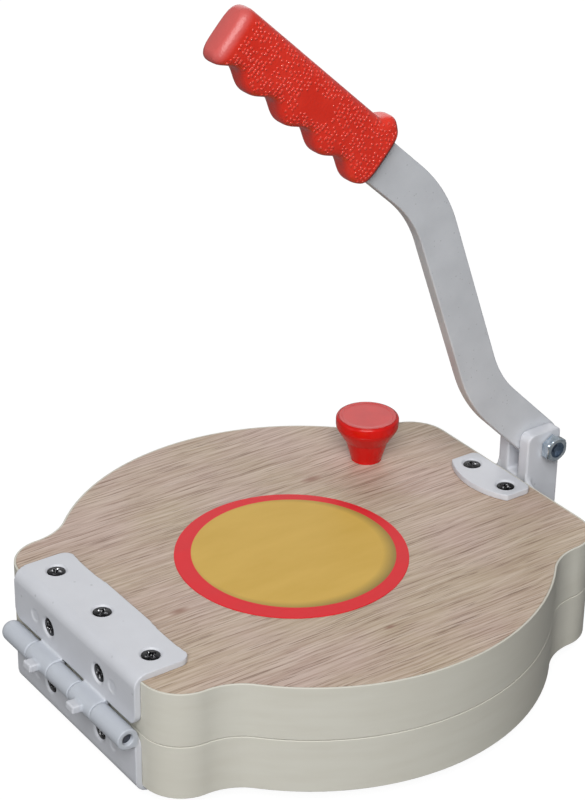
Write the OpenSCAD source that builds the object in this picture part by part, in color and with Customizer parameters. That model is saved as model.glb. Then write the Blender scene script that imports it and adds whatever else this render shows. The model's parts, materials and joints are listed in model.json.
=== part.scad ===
// Roti press: two hinged round boards, a forked bracket and a bent pressing lever.
// Millimetres. +X along the hinge pin, +Y from the hinge to the lever's fork, +Z up.
// The origin is on the surface that the feet stand on, in the middle of the footprint.

/* [Boards] */
// Radius of the round part of both boards
board_r = 108; // [95:1:130]
// Thickness of one board over its skins
board_t = 25; // [20:0.5:32]
// How far the two flat ends stand out beyond the round
end_step = 6; // [3:0.5:9]
// Flat end left over at each side of the hinge leaf, before the corner starts
end_margin = 0.5; // [0.5:0.5:8]
// Radius of the four corners
corner_r = 18.5; // [12:0.5:22]
// Radius of the hollow between a corner and the round
hollow_r = 26; // [18:0.5:35]
// Thickness of the skins on the boards' faces
skin_t = 0.8; // [0.5:0.1:1.5]
// Thickness of the edge band
band_t = 1; // [0.6:0.1:2]
// Gap between the two pressing faces when the press is closed
seam_gap = 0.3; // [0.2:0.05:1]

/* [Feet] */
// Height of the feet
foot_h = 8; // [7:0.5:14]
// Radius of a foot where it meets the board
foot_r = 11; // [9:0.5:15]
// How much narrower a foot is at the floor
foot_taper = 1.5; // [0:0.25:3]
// Distance from the round edge to the middle of a foot
foot_in = 23; // [18:1:38]

/* [Hinge] */
// Width of both hinge leaves
leaf_w = 97; // [80:1:110]
// Thickness of the hinge leaves
leaf_t = 3; // [3:0.25:4]
// Length of the leg that lies on the board's face
leaf_leg = 24; // [20:0.5:30]
// Outer radius of the fold between the two legs
fold_r = 6; // [4:0.25:7]
// Radius of the free corners of the legs
leaf_corner_r = 5; // [2:0.5:7]
// Depth of the two shallow dips in the edge of that leg
edge_dip = 0.9; // [0.4:0.1:1.6]
// Half the length of a dip
dip_half = 14; // [11:0.5:15]
// Distance of the dips from the middle
dip_x = 31; // [28:0.5:32]
// Height left free between the hinge axis and the lid leaf's lower edge
lid_leaf_lift = 4.5; // [2:0.5:6]
// Height left free between the hinge axis and the base leaf's upper edge
base_leaf_drop = 1; // [0.6:0.1:3]
// Outer radius of the knuckles
knuckle_r = 4.75; // [4.5:0.25:7]
// Radius of the hinge pin
pin_r = 2.5; // [2:0.25:3]
// Length of the two end knuckles
end_knuckle = 22; // [16:0.5:26]
// Length of the middle knuckle
mid_knuckle = 17; // [12:0.5:24]
// How far the knuckles are let into the leaves
knuckle_set = 1.8; // [0.6:0.1:2.2]
// Radius of the left end knuckle's closed round end
dome_r = 3.5; // [1.5:0.25:4]
// Thickness of that closed end, up to the pin's hole
end_wall = 4; // [3:0.25:6]
// Clearance between knuckles, and between a knuckle and the other leaf
knuckle_gap = 0.4; // [0.3:0.05:0.8]
// Running clearance round a pin or a bolt
run_gap = 0.05; // [0.02:0.01:0.1]
// How deep the pin lies inside the open end knuckle
pin_recess = 2; // [1:0.25:4]
// Angle at which the stop nubs meet the base leaf
open_stop = 105; // [95:1:115]
// Reach of a stop nub from the hinge axis
nub_reach = 9; // [8:0.25:11]
// Thickness of a stop nub
nub_t = 3.5; // [3:0.25:5]
// Width of a stop nub along the pin
nub_w = 6; // [4:0.5:9]
// Distance between the screws along a board's face
face_screw_pitch = 37.5; // [30:0.5:40]
// Distance from the board's end to those screws
face_screw_in = 11.5; // [9:0.5:15]
// Half the distance between the screws in a board's end
end_screw_x = 20; // [17:0.5:26]
// Depth of those screws below the board's outer face
end_screw_down = 11; // [10:0.25:12]
// Radius of the shallow round casting marks
mark_r = 3; // [2:0.25:4]
// Depth of the casting marks
mark_deep = 0.4; // [0.2:0.1:0.8]
// Distance of the casting marks from the middle
mark_x = 31; // [30:0.5:36]

/* [Screws] */
// Radius of a screw's head
head_r = 4; // [3.5:0.1:4.2]
// Radius of a screw's shank
shank_r = 2.2; // [1.9:0.1:2.4]
// Depth of a screw's head below the metal's face
head_sink = 0.8; // [0.5:0.05:1]
// Length of the screws in a board's face
face_screw_len = 17; // [12:0.5:20]
// Length of the screws in a board's end
end_screw_len = 24; // [18:0.5:30]
// Width of the arms of the cross in a head
cross_w = 0.9; // [0.6:0.1:1.2]
// Length of the arms of the cross, tip to tip
cross_len = 4.6; // [3.5:0.1:5.5]
// Depth of the cross
cross_deep = 1.2; // [0.8:0.1:1.5]

/* [Strike plate] */
// Width of the plate that the lever bears on
strike_w = 40; // [36:0.5:50]
// Thickness of that plate
strike_t = 3; // [3:0.25:4]
// Depth of the plate in the middle of its arc
strike_d = 20; // [18:0.5:26]
// Depth of the plate at its two straight sides
strike_side = 14; // [12:0.5:17]
// Distance from the lid's end to the plate's straight edge
strike_in = 4; // [2:0.25:6]
// Radius of the plate's two outer corners
strike_corner_r = 3; // [1:0.25:5]
// Half the distance between the plate's screws
strike_screw_x = 12; // [11:0.2:15]
// Distance from the plate's straight edge to its screws
strike_screw_in = 8.5; // [7:0.25:10]

/* [Bracket] */
// Thickness of each cheek of the fork
cheek_t = 6.6; // [5:0.2:9]
// Depth of the fork along the lever
fork_d = 19; // [17:0.5:26]
// Clearance between the lid's end and the fork
fork_gap = 1.5; // [1.25:0.25:4]
// Distance from the fork's front to the pivot
pivot_in = 13.5; // [12:0.25:14]
// Height of the cheeks above the pivot
cheek_rise = 8.25; // [7.5:0.25:14]
// Radius of the cheeks' front corner
cheek_front_r = 4; // [2:0.5:7]
// Radius of the cheeks' back corner
cheek_back_r = 2; // [1:0.5:4]
// Height of the bridge under the slot
bridge_h = 10; // [6:0.5:16]
// Width of the flange
flange_w = 46; // [42:1:60]
// Thickness of the flange
flange_t = 4; // [3.5:0.25:6]
// How far the flange stays below the lid's top
flange_drop = 3; // [2:0.5:8]
// How far the flange steps back from the lid's end
flange_relief = 1; // [0.6:0.1:1.5]
// Radius of the fillets between cheeks and flange
flare_r = 5; // [3:0.5:6]
// Radius of the flange's corners
flange_corner_r = 5; // [2:0.5:7]
// Half the width between the flange's screws
flange_screw_x = 16; // [15.5:0.25:18]
// Half the height between the flange's screws
flange_screw_z = 6; // [5:0.25:7]

/* [Pivot] */
// Radius of the pivot bolt
bolt_r = 3.25; // [2.5:0.25:4]
// Width of the bolt's head and nut across flats
hex_af = 11; // [10:0.5:13]
// Height of the bolt's head
bolt_head_h = 4.8; // [4:0.1:7]
// Depth of the dish in the bolt's head
bolt_dish = 0.7; // [0.3:0.1:1.2]
// Height of the nut
nut_h = 5.5; // [4:0.25:8]
// Length of the bolt that stands out of the nut
bolt_tail = 2; // [1:0.25:4]
// Thickness of the washer
washer_t = 1.6; // [1:0.1:2.5]
// Radius of the washer
washer_r = 6.75; // [6.5:0.25:8]
// Wall of the sleeve that the lever turns on
bush_wall = 1.5; // [1:0.1:2]

/* [Lever] */
// Width of the flat bar
bar_w = 19.5; // [18:0.5:24]
// Thickness of the flat bar
bar_t = 6; // [5:0.25:8]
// Clearance between the bar and each cheek
slot_gap = 0.4; // [0.3:0.05:0.8]
// Gap between the bar and the strike plate when the lever is down
press_gap = 1; // [0.6:0.1:2]
// Room under the bar's round end in the slot
slot_floor_gap = 4.5; // [0.8:0.1:6]
// Angle of the run that leaves the fork
foot_angle = 44.5; // [40:0.5:48]
// Angle of the long middle run
shank_angle = 70; // [64:0.5:76]
// Angle of the grip
grip_angle = 42; // [37:0.5:47]
// Length from the pivot to the first bend's corner
foot_run = 49; // [44:0.5:60]
// Length between the corners of the two bends
shank_run = 105; // [90:1:120]
// Length from the second bend's corner to the grip
neck_run = 38.9; // [35:0.1:50]
// Middle radius of the first bend
foot_bend_r = 64; // [40:1:80]
// Middle radius of the second bend
neck_bend_r = 62; // [40:1:70]
// Length of the full bar inside the grip's mouth
shoulder_len = 8; // [4:0.5:12]
// Width of the narrow tang further in
tang_w = 13; // [10:0.5:14]
// Length of the narrow tang
tang_len = 72; // [50:1:76]

/* [Grip] */
// Length of the grip
grip_len = 99; // [92:1:112]
// Height of the grip above the bar's middle line
grip_up = 13.8; // [12.5:0.1:16]
// Mean height of the grip below that line, at the mouth
grip_down = 12.2; // [11.8:0.1:15]
// How much less that is at the tip
grip_taper = 2.3; // [0:0.1:3]
// Half the thickness of the grip
grip_half_t = 7.5; // [7:0.25:10]
// Height of the finger waves, from the mean
wave_h = 2.1; // [0.8:0.1:2.3]
// Distance between two finger valleys
wave_pitch = 22.8; // [20:0.2:26]
// Distance from the mouth to the first valley
wave_start = 17; // [14:0.5:22]
// Height of the thumb stop at the mouth
thumb_h = 3.9; // [1:0.1:5]
// Distance from the mouth to the middle of the thumb stop
thumb_at = 5.5; // [4:0.25:9]
// Half the length of the thumb stop
thumb_half = 7.75; // [6:0.25:10]
// Radius of the grip's rounded tip
tip_r = 2; // [1:0.25:5]
// Radius of the grip's rounded mouth
mouth_r = 1; // [0.5:0.1:2]
// Clearance between the bar and the grip
tang_gap = 0.3; // [0.1:0.05:0.5]

/* [Knob] */
// Distance from the round edge to the middle of the knob
knob_in = 26; // [22:0.5:34]
// Angle between the knob and the lever's line, seen from the lid's middle
knob_angle = 35; // [28:0.5:42]
// Height of the knob
knob_h = 22.5; // [18:0.5:28]
// Radius of the knob's foot
knob_foot_r = 7.2; // [6:0.1:9]
// Radius of the knob's stem under the head
knob_stem_r = 10.2; // [9:0.1:11.5]
// Radius of the knob's head
knob_head_r = 14.5; // [13:0.25:18]
// Height of the stem
knob_stem_h = 11; // [9:0.25:12]
// Height at which the head is full width
knob_flare_h = 17; // [15.5:0.25:17.5]
// Step between stem and head
knob_step = 0.7; // [0.4:0.1:1.2]
// Radius of the head's upper edge
knob_edge_r = 2; // [1:0.25:2.5]
// Radius of the knob's stud
stud_r = 2.5; // [2:0.25:3]
// Length of the stud in the lid
stud_in = 14; // [10:0.5:18]
// Length of the stud in the knob
stud_up = 12; // [8:0.5:15]

/* [Badge] */
// Radius of the round badge
badge_r = 50.5; // [40:0.5:56]
// Thickness of the badge
badge_t = 0.3; // [0.2:0.05:0.6]
// Place of the badge across the lid
badge_x = 3; // [-6:0.5:6]
// Place of the badge along the lid
badge_y = -10; // [-16:0.5:0]

/* [Hidden] */
$fn = 96;

// Surfaces that have to cross each other run on by this much.
cross_over = 0.05;
// Cutters stand out of what they cut by this much.
proud = 1;

// Heights
lower_z = foot_h;
seam_z = lower_z + board_t;
lid_z = seam_z + seam_gap;
lid_top = lid_z + board_t;
hinge_z = seam_z + seam_gap / 2;

// Plan of the boards
end_y = board_r + end_step;
corner_x = leaf_w / 2 + end_margin;
corner_y = end_y - corner_r;
corner_d = norm([corner_x, corner_y]);
hollow_out = board_r + hollow_r;
hollow_side = corner_r + hollow_r;
hollow_along = (hollow_out ^ 2 - hollow_side ^ 2 + corner_d ^ 2) / (2 * corner_d);
hollow_across = sqrt(hollow_out ^ 2 - hollow_along ^ 2);
corner_dir = [corner_x, corner_y] / corner_d;
hollow_c = hollow_along * corner_dir + hollow_across * [corner_dir[1], -corner_dir[0]];
foot_circle_r = board_r - foot_in;
knob_x = -(board_r - knob_in) * sin(knob_angle);
knob_y = (board_r - knob_in) * cos(knob_angle);

// Hinge, seen from the side: u points out of the board's end, v up from the lid's top
axis_out = knuckle_r + knuckle_gap - knuckle_set;
hinge_u = leaf_t + axis_out;
hinge_v = hinge_z - lid_top;
hinge_y = -end_y - hinge_u;
lid_knuckle = (leaf_w - 2 * end_knuckle - mid_knuckle) / 2;
lid_knuckle_x = (mid_knuckle + lid_knuckle) / 2;
end_knuckle_x = (leaf_w - end_knuckle) / 2;
web_in = leaf_t / 2;
dip_r = (dip_half ^ 2 + edge_dip ^ 2) / (2 * edge_dip);
nub_corner_r = norm([nub_reach, nub_t / 2]);
nub_lead = atan(nub_t / 2 / nub_reach);
nub_droop = 180 - open_stop - nub_lead - acos(axis_out / nub_corner_r);
nub_tip_u = hinge_u + nub_reach * cos(nub_droop) + nub_t / 2 * sin(abs(nub_droop));

// Screws
sink_r = head_r + head_sink;
sink_deep = sink_r - shank_r;
board_screw_in = head_sink + face_screw_len;

// Fork and lever
slot_w = bar_t + 2 * slot_gap;
fork_w = slot_w + 2 * cheek_t;
fork_y = end_y + fork_gap;
fork_back = fork_y + fork_d;
pivot_y = fork_y + pivot_in;
pivot_z = lid_top + strike_t + press_gap + bar_w / 2;
cheek_top = pivot_z + cheek_rise;
slot_floor = pivot_z - bar_w / 2 - slot_floor_gap;
flange_top = lid_top - flange_drop;
bush_r = bolt_r + run_gap + bush_wall;
dish_rim_r = hex_af / 2 - bolt_dish;
dish_floor_r = dish_rim_r - 2 * bolt_dish;
foot_turn = shank_angle - foot_angle;
neck_turn = shank_angle - grip_angle;
foot_tangent = foot_bend_r * tan(foot_turn / 2);
neck_tangent = neck_bend_r * tan(neck_turn / 2);
shank_len = shank_run - foot_tangent - neck_tangent;
mouth_run = neck_run - neck_tangent;

// Middle line of the bar from the pivot, seen from the side: points with the slope there
function heading(a) = [cos(a), sin(a)];
function leftward(a) = [-sin(a), cos(a)];
bend_n = 14;
end_n = 48;
foot_bend_c = (foot_run - foot_tangent) * heading(foot_angle) + foot_bend_r * leftward(foot_angle);
shank_end = foot_bend_c - foot_bend_r * leftward(shank_angle) + shank_len * heading(shank_angle);
neck_bend_c = shank_end - neck_bend_r * leftward(shank_angle);
mouth_at = neck_bend_c + neck_bend_r * leftward(grip_angle) + mouth_run * heading(grip_angle);
shoulder_at = mouth_at + shoulder_len * heading(grip_angle);
tang_at = shoulder_at + tang_len * heading(grip_angle);
bar_line = concat(
    [[[0, 0], foot_angle]],
    [for (i = [0 : bend_n])
        let (a = foot_angle + foot_turn * i / bend_n)
        [foot_bend_c - foot_bend_r * leftward(a), a]],
    [for (i = [0 : bend_n])
        let (a = shank_angle - neck_turn * i / bend_n)
        [neck_bend_c + neck_bend_r * leftward(a), a]],
    [[shoulder_at, grip_angle]]
);

// Grip: points in a ring, rings in the rounded mouth and tip, and the space between rings
ring_n = 32;
mouth_steps = 3;
tip_steps = 6;
ring_step = 2;
body_len = grip_len - mouth_r - tip_r;
body_n = ceil(body_len / ring_step);
// Below 1 the grip's section is squarer than an oval: flat sides, with rounded upper and lower edges.
section_power = 0.42;
ring_at = concat(
    [for (i = [0 : mouth_steps - 1]) mouth_r * (1 - cos(90 * i / mouth_steps))],
    [for (i = [0 : body_n]) mouth_r + body_len * i / body_n],
    [for (i = [1 : tip_steps]) grip_len - tip_r + tip_r * sin(90 * i / tip_steps)]
);

// Middle of the footprint, which becomes the origin
back_y = max(fork_back, pivot_y + bar_w / 2);
mid_y = (back_y - end_y - nub_tip_u) / 2;

// Frames in which the pieces are drawn

module centred() translate([0, -mid_y, 0]) children();

// The base's hinge leaf is the lid's, mirrored at the hinge axis
module below_hinge() translate([0, 0, 2 * hinge_z]) mirror([0, 0, 1]) children();

// Side view at the hinge end: x points out of the board's end, y up from the lid's top
module hinge_side() translate([0, -end_y, lid_top]) rotate([90, 0, -90]) children();

// Side view of the lever: x points from the fork to the hinge, y up
module lever_side() translate([0, pivot_y, pivot_z]) rotate([90, 0, -90]) children();

// Screw places: the screw's head is up and its axis is -Z

module at_face_screws()
    for (x = [-face_screw_pitch, 0, face_screw_pitch])
        translate([x, face_screw_in - end_y, lid_top + leaf_t]) children();

module at_end_screws()
    for (x = [-end_screw_x, end_screw_x])
        translate([x, -end_y - leaf_t, lid_top - end_screw_down]) rotate([90, 0, 0]) children();

module at_strike_screws()
    for (x = [-strike_screw_x, strike_screw_x])
        translate([x, end_y - strike_in - strike_screw_in, lid_top + strike_t]) children();

module at_flange_screws()
    for (x = [-flange_screw_x, flange_screw_x], z = [-flange_screw_z, flange_screw_z])
        translate([x, end_y + flange_t, lower_z + board_t / 2 + z]) rotate([-90, 0, 0]) children();

module at_feet()
    for (turn = [45 : 90 : 315])
        rotate(turn) translate([foot_circle_r, 0, 0]) children();

// Shared shapes

// Plan of a board, drawn in by t all round
module board_plan(t) {
    k = [corner_x, corner_y];
    to_corner = (hollow_c - k) / norm(hollow_c - k);
    on_round = hollow_c * (board_r - t) / hollow_out;
    on_corner = k + to_corner * (corner_r - t);
    top = end_y - t;
    difference() {
        union() {
            circle(r = board_r - t);
            for (end = [0, 1]) mirror([0, end]) {
                polygon([
                    [0, 0], on_round, on_corner, k, [corner_x, top],
                    [-corner_x, top], [-k[0], k[1]], [-on_corner[0], on_corner[1]],
                    [-on_round[0], on_round[1]]
                ]);
                for (x = [-corner_x, corner_x]) translate([x, corner_y]) circle(r = corner_r - t);
            }
        }
        for (x = [-1, 1], y = [-1, 1])
            translate([x * hollow_c[0], y * hollow_c[1]]) circle(r = hollow_r + t + cross_over);
    }
}

module board_slab(t, z, h) translate([0, 0, z]) linear_extrude(h) board_plan(t);

module edge_band(z)
    translate([0, 0, z]) linear_extrude(board_t) difference() {
        board_plan(0);
        board_plan(band_t);
    }

module shank(len) translate([0, 0, -len]) cylinder(r = shank_r, h = len);

// Hole with a countersink that lets the head lie a little deep
module screw_hole(len) {
    translate([0, 0, -len]) cylinder(r = shank_r, h = len + proud);
    translate([0, 0, -sink_deep]) cylinder(r1 = shank_r, r2 = sink_r, h = sink_deep);
    cylinder(r = sink_r, h = proud);
}

module wood_screw(len)
    difference() {
        union() {
            translate([0, 0, -sink_deep]) cylinder(r1 = shank_r, r2 = head_r, h = head_r - shank_r);
            shank(len);
        }
        for (turn = [0, 90])
            rotate(turn) translate([-cross_len / 2, -cross_w / 2, -head_sink - cross_deep])
                cube([cross_len, cross_w, cross_deep + head_sink + proud]);
        translate([-head_r, -head_r, -head_sink]) cube([2 * head_r, 2 * head_r, head_sink + proud]);
    }

// Cutter that rounds a square corner whose material lies towards -x, -y
module corner_cut(r)
    difference() {
        translate([-r, -r]) square(r + proud);
        translate([-r, -r]) circle(r = r);
    }

// Hinge

// Section of a leaf: one leg on the board's face, one down its end
module leaf_section(drop)
    difference() {
        union() {
            translate([-leaf_leg, 0]) square([leaf_leg + leaf_t - fold_r, leaf_t]);
            translate([0, -drop]) square([leaf_t, drop + leaf_t - fold_r]);
            translate([leaf_t - fold_r, leaf_t - fold_r]) circle(r = fold_r);
        }
        translate([-2 * fold_r, -2 * fold_r]) square(2 * fold_r);
    }

module leaf_plate(drop)
    difference() {
        hinge_side() linear_extrude(leaf_w, center = true) leaf_section(drop);
        for (side = [0, 1]) mirror([side, 0, 0]) {
            translate([leaf_w / 2, leaf_leg - end_y, lid_top - proud])
                linear_extrude(leaf_t + 2 * proud) corner_cut(leaf_corner_r);
            translate([dip_x, leaf_leg - end_y + dip_r - edge_dip, lid_top - proud])
                cylinder(r = dip_r, h = leaf_t + 2 * proud);
            translate([leaf_w / 2, -end_y + proud, lid_top - drop])
                rotate([90, 0, 0]) linear_extrude(leaf_t + 2 * proud)
                    mirror([0, 1]) corner_cut(leaf_corner_r);
            translate([mark_x, -end_y - leaf_t + mark_deep, lid_top - end_screw_down])
                rotate([90, 0, 0]) cylinder(r = mark_r, h = mark_deep + proud);
        }
        at_face_screws() screw_hole(leaf_t + proud);
        at_end_screws() screw_hole(leaf_t + proud);
    }

// Round knuckle with a square web that runs back into its leaf
module knuckle(x, len)
    translate([x, 0, 0]) hinge_side() {
        translate([hinge_u, hinge_v, -len / 2]) cylinder(r = knuckle_r, h = len);
        translate([web_in, hinge_v, -len / 2]) cube([hinge_u - web_in, knuckle_r, len]);
    }

// Nub that meets the base leaf when the lid stands open
module stop_nub(x)
    translate([x, 0, 0]) hinge_side() translate([hinge_u, hinge_v, -nub_w / 2])
        rotate(-nub_droop) translate([pin_r + web_in, -nub_t / 2, 0])
            cube([nub_reach - pin_r - web_in, nub_t, nub_w]);

// Scoop in a leaf behind a knuckle of the other leaf
module knuckle_room(x, len)
    translate([x, 0, 0]) hinge_side() translate([hinge_u, hinge_v, -len / 2])
        cylinder(r = knuckle_r + knuckle_gap, h = len);

module pin_hole(r)
    hinge_side() translate([hinge_u, hinge_v, -leaf_w / 2 - proud])
        cylinder(r = r, h = leaf_w + proud - end_wall);

// Cutter that rounds the closed end
module dome_cut()
    hinge_side() translate([hinge_u, hinge_v, leaf_w / 2])
        rotate_extrude() translate([knuckle_r, 0]) corner_cut(dome_r);

module upper_hinge_leaf()
    color("gainsboro") difference() {
        union() {
            difference() {
                leaf_plate(-hinge_v - lid_leaf_lift);
                for (x = [-end_knuckle_x, end_knuckle_x]) knuckle_room(x, end_knuckle + 2 * knuckle_gap);
                knuckle_room(0, mid_knuckle + 2 * knuckle_gap);
            }
            for (x = [-lid_knuckle_x, lid_knuckle_x]) {
                knuckle(x, lid_knuckle - 2 * knuckle_gap);
                stop_nub(x);
            }
        }
        pin_hole(pin_r + run_gap);
    }

module lower_hinge_leaf()
    color("gainsboro") below_hinge() difference() {
        union() {
            difference() {
                leaf_plate(-hinge_v - base_leaf_drop);
                for (x = [-lid_knuckle_x, lid_knuckle_x]) knuckle_room(x, lid_knuckle);
            }
            knuckle(-end_knuckle_x, end_knuckle);
            knuckle(0, mid_knuckle);
            knuckle(end_knuckle_x, end_knuckle);
        }
        pin_hole(pin_r);
        dome_cut();
    }

module hinge_pin()
    color("silver") translate([end_wall + knuckle_gap - leaf_w / 2, hinge_y, hinge_z])
        rotate([0, 90, 0]) cylinder(r = pin_r, h = leaf_w - end_wall - knuckle_gap - pin_recess);

module upper_leaf_screws()
    color("black") {
        at_face_screws() wood_screw(board_screw_in);
        at_end_screws() wood_screw(end_screw_len);
    }

module lower_leaf_screws() below_hinge() upper_leaf_screws();

// Boards

module lid_holes() {
    at_face_screws() shank(board_screw_in);
    at_end_screws() shank(end_screw_len);
    at_strike_screws() shank(board_screw_in);
    translate([knob_x, knob_y, lid_top - stud_in]) cylinder(r = stud_r, h = stud_in + proud);
}

module base_holes() {
    below_hinge() at_face_screws() shank(board_screw_in);
    below_hinge() at_end_screws() shank(end_screw_len);
    at_flange_screws() shank(end_screw_len);
    at_feet() mirror([0, 0, 1]) shank(foot_h + face_screw_len);
}

module lower_board_core()
    color("burlywood") difference() {
        board_slab(band_t, lower_z + skin_t, board_t - 2 * skin_t);
        base_holes();
    }

module lower_press_laminate() color("whitesmoke") board_slab(band_t, seam_z - skin_t, skin_t);

module lower_base_laminate()
    color("whitesmoke") difference() {
        board_slab(band_t, lower_z, skin_t);
        base_holes();
    }

module lower_edge_band()
    color("beige") difference() {
        edge_band(lower_z);
        base_holes();
    }

module upper_board_core()
    color("burlywood") difference() {
        board_slab(band_t, lid_z + skin_t, board_t - 2 * skin_t);
        lid_holes();
    }

module upper_top_laminate()
    color("tan") difference() {
        board_slab(band_t, lid_top - skin_t, skin_t);
        lid_holes();
    }

module upper_press_laminate() color("whitesmoke") board_slab(band_t, lid_z, skin_t);

module upper_edge_band()
    color("beige") difference() {
        edge_band(lid_z);
        lid_holes();
    }

// Things on the lid

// Straight edge towards the fork, arc towards the hinge
module strike_plate() {
    rise = strike_d - strike_side;
    arc_r = (rise ^ 2 + (strike_w / 2) ^ 2) / (2 * rise);
    color("gainsboro") difference() {
        translate([0, end_y - strike_in, lid_top]) linear_extrude(strike_t) difference() {
            intersection() {
                translate([-strike_w / 2, -strike_d]) square([strike_w, strike_d]);
                translate([0, arc_r - strike_d]) circle(r = arc_r);
            }
            for (side = [0, 1]) mirror([side, 0])
                translate([strike_w / 2, 0]) corner_cut(strike_corner_r);
        }
        at_strike_screws() screw_hole(strike_t + proud);
    }
}

module strike_plate_screws() color("black") at_strike_screws() wood_screw(board_screw_in);

module lid_knob()
    color("red") translate([knob_x, knob_y, lid_top]) difference() {
        rotate_extrude() union() {
            polygon([
                [0, 0], [knob_foot_r, 0], [knob_stem_r, knob_stem_h],
                [knob_stem_r + knob_step, knob_stem_h], [knob_head_r, knob_flare_h],
                [knob_head_r, knob_h - knob_edge_r], [knob_head_r - knob_edge_r, knob_h - knob_edge_r],
                [knob_head_r - knob_edge_r, knob_h], [0, knob_h]
            ]);
            translate([knob_head_r - knob_edge_r, knob_h - knob_edge_r]) circle(r = knob_edge_r);
        }
        translate([0, 0, -proud]) cylinder(r = stud_r, h = stud_up + proud);
    }

module knob_stud()
    color("silver") translate([knob_x, knob_y, lid_top - stud_in])
        cylinder(r = stud_r, h = stud_in + stud_up);

module round_badge()
    color("crimson") translate([badge_x, badge_y, lid_top]) cylinder(r = badge_r, h = badge_t);

// Feet

module rubber_feet()
    color("dimgray") at_feet() difference() {
        cylinder(r1 = foot_r - foot_taper, r2 = foot_r, h = foot_h);
        mirror([0, 0, 1]) translate([0, 0, -foot_h / 2]) screw_hole(foot_h);
        translate([0, 0, -proud]) cylinder(r = sink_r, h = foot_h / 2 + proud);
    }

module feet_screws()
    color("black") at_feet() mirror([0, 0, 1]) translate([0, 0, -foot_h / 2])
        wood_screw(foot_h / 2 + face_screw_len);

// Fork and pivot

// One cheek from the side: x points from the fork's front to its back, y up
module cheek_side() {
    height = cheek_top - lower_z;
    difference() {
        square([fork_d, height]);
        translate([0, height]) mirror([1, 0]) corner_cut(cheek_front_r);
        translate([fork_d, height]) corner_cut(cheek_back_r);
    }
}

// The flange from behind: x across, y up, with fillets up to the cheeks
module flange_face() {
    height = flange_top - lower_z;
    difference() {
        translate([-flange_w / 2, 0]) square([flange_w, height]);
        for (side = [0, 1]) mirror([side, 0]) {
            translate([flange_w / 2, height]) corner_cut(flange_corner_r);
            translate([flange_w / 2, 0]) mirror([0, 1]) corner_cut(flange_corner_r);
        }
    }
    for (side = [0, 1]) mirror([side, 0]) translate([fork_w / 2, height]) difference() {
        translate([-proud, -proud]) square(flare_r + proud);
        translate([flare_r, flare_r]) circle(r = flare_r);
    }
}

module lever_bracket()
    color("gainsboro") difference() {
        union() {
            for (side = [0, 1]) mirror([side, 0, 0])
                translate([slot_w / 2, fork_y, lower_z]) rotate([90, 0, 90])
                    linear_extrude(cheek_t) cheek_side();
            translate([-fork_w / 2, fork_y, slot_floor - bridge_h]) cube([fork_w, fork_d, bridge_h]);
            translate([0, end_y + flange_t, lower_z]) rotate([90, 0, 0])
                linear_extrude(flange_t) flange_face();
        }
        translate([-flange_w, end_y - proud, seam_z - proud])
            cube([2 * flange_w, flange_relief + proud, board_t + 2 * flare_r]);
        at_flange_screws() screw_hole(flange_t + proud);
        translate([-fork_w, pivot_y, pivot_z]) rotate([0, 90, 0])
            cylinder(r = bolt_r + run_gap, h = 2 * fork_w);
    }

module bracket_screws() color("black") at_flange_screws() wood_screw(end_screw_len);

module hex(af, h) cylinder(d = af / cos(30), h = h, $fn = 6);

// Head on the +X cheek, with its corners turned off and a shallow dish
module pivot_bolt()
    color("silver") translate([0, pivot_y, pivot_z]) rotate([0, 90, 0]) {
        translate([0, 0, -fork_w / 2 - washer_t - nut_h - bolt_tail])
            cylinder(r = bolt_r, h = fork_w + washer_t + nut_h + bolt_tail + bolt_head_h / 2);
        translate([0, 0, fork_w / 2]) difference() {
            intersection() {
                hex(hex_af, bolt_head_h);
                cylinder(r1 = hex_af / 2 + bolt_head_h, r2 = hex_af / 2, h = bolt_head_h);
            }
            translate([0, 0, bolt_head_h - bolt_dish])
                cylinder(r1 = dish_floor_r, r2 = dish_rim_r, h = bolt_dish + cross_over);
        }
    }

module pivot_washer()
    color("silver") translate([-fork_w / 2 - washer_t, pivot_y, pivot_z]) rotate([0, 90, 0])
        difference() {
            cylinder(r = washer_r, h = washer_t);
            translate([0, 0, -proud]) cylinder(r = bolt_r + run_gap, h = washer_t + 2 * proud);
        }

module pivot_nut()
    color("silver") translate([-fork_w / 2 - washer_t - nut_h, pivot_y, pivot_z]) rotate([0, 90, 0])
        difference() {
            intersection() {
                hex(hex_af, nut_h);
                cylinder(r1 = hex_af / 2, r2 = hex_af / 2 + nut_h, h = nut_h);
            }
            translate([0, 0, -proud]) cylinder(r = bolt_r, h = nut_h + 2 * proud);
        }

module pivot_bush() {
    bush_l = slot_w - slot_gap;
    color("darkgray") translate([-bush_l / 2, pivot_y, pivot_z]) rotate([0, 90, 0])
        difference() {
            cylinder(r = bush_r, h = bush_l);
            translate([0, 0, -proud]) cylinder(r = bolt_r + run_gap, h = bush_l + 2 * proud);
        }
}

// Lever

// Outline of the bar: lower edge out to the grip, tang, upper edge back, round end on the pivot
module bar_outline() {
    last = len(bar_line) - 1;
    half = leftward(grip_angle) * tang_w / 2;
    polygon(concat(
        [for (p = bar_line) p[0] - leftward(p[1]) * bar_w / 2],
        [shoulder_at - half, tang_at - half, tang_at + half, shoulder_at + half],
        [for (i = [last : -1 : 0]) bar_line[i][0] + leftward(bar_line[i][1]) * bar_w / 2],
        [for (i = [1 : end_n - 1]) leftward(foot_angle + 180 * i / end_n) * bar_w / 2]
    ));
}

module lever_arm()
    color("gainsboro") lever_side() difference() {
        linear_extrude(bar_t, center = true) bar_outline();
        cylinder(r = bush_r + run_gap, h = 2 * bar_t, center = true);
    }

// Grip: flat-sided rings along its length, from the mouth to the tip

// What the rounded mouth and tip take off the section at s
function round_off(s) =
    s < mouth_r ? mouth_r - sqrt(mouth_r ^ 2 - (mouth_r - s) ^ 2) :
    s > grip_len - tip_r ? tip_r - sqrt(max(0, tip_r ^ 2 - (s - grip_len + tip_r) ^ 2)) : 0;

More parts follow.
